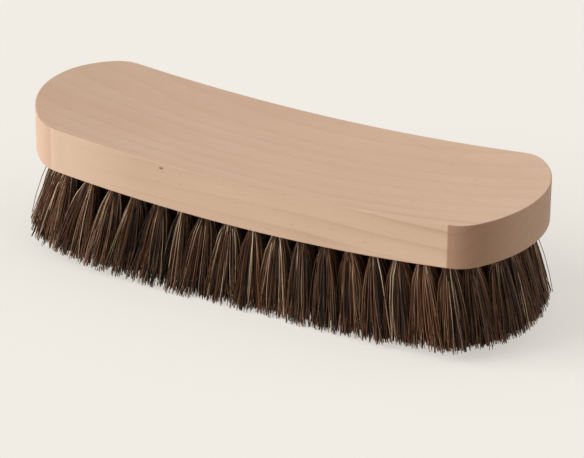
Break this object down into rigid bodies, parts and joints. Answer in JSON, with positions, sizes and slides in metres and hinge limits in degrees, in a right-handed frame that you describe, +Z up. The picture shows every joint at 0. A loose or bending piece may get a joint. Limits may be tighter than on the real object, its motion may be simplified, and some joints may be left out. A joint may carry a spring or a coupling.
{
  "type": "shoe shine brush",
  "caption": "Hand brush for shining shoes: a bowed wooden block with rounded ends, set from below with rows of horsehair tufts.",
  "frame": {"origin": "on the floor under the middle of the brush, at the bottom centre of its box, where the trimmed tips of the middle bristles stand", "axes": "+X along the length of the brush, +Y across it, +Z up from the bristle tips to the block"},
  "size_m": [0.2046, 0.0692, 0.0574],
  "materials": {
    "handle_wood": "bare sanded beech, satin",
    "bristle_hair": "dark brown horsehair, slightly glossy",
    "anchor_wire": "drawn flat wire"
  },
  "bodies": {
    "root": {"handle_block": "handle_wood", "tuft_row_01": "bristle_hair", "tuft_row_02": "bristle_hair", "tuft_row_03": "bristle_hair", "tuft_row_04": "bristle_hair", "tuft_row_05": "bristle_hair", "tuft_row_06": "bristle_hair", "tuft_row_07": "bristle_hair", "tuft_row_08": "bristle_hair", "tuft_row_09": "bristle_hair", "tuft_row_10": "bristle_hair", "tuft_row_11": "bristle_hair", "tuft_row_12": "bristle_hair", "tuft_row_13": "bristle_hair", "tuft_row_14": "bristle_hair", "tuft_row_15": "bristle_hair", "tuft_row_16": "bristle_hair", "tuft_row_17": "bristle_hair", "tuft_row_18": "bristle_hair", "tuft_row_19": "bristle_hair", "tuft_row_20": "bristle_hair", "tuft_row_21": "bristle_hair", "anchor_row_01": "anchor_wire", "anchor_row_02": "anchor_wire", "anchor_row_03": "anchor_wire", "anchor_row_04": "anchor_wire", "anchor_row_05": "anchor_wire", "anchor_row_06": "anchor_wire", "anchor_row_07": "anchor_wire", "anchor_row_08": "anchor_wire", "anchor_row_09": "anchor_wire", "anchor_row_10": "anchor_wire", "anchor_row_11": "anchor_wire", "anchor_row_12": "anchor_wire", "anchor_row_13": "anchor_wire", "anchor_row_14": "anchor_wire", "anchor_row_15": "anchor_wire", "anchor_row_16": "anchor_wire", "anchor_row_17": "anchor_wire", "anchor_row_18": "anchor_wire", "anchor_row_19": "anchor_wire", "anchor_row_20": "anchor_wire", "anchor_row_21": "anchor_wire"}
  },
  "joints": []
}
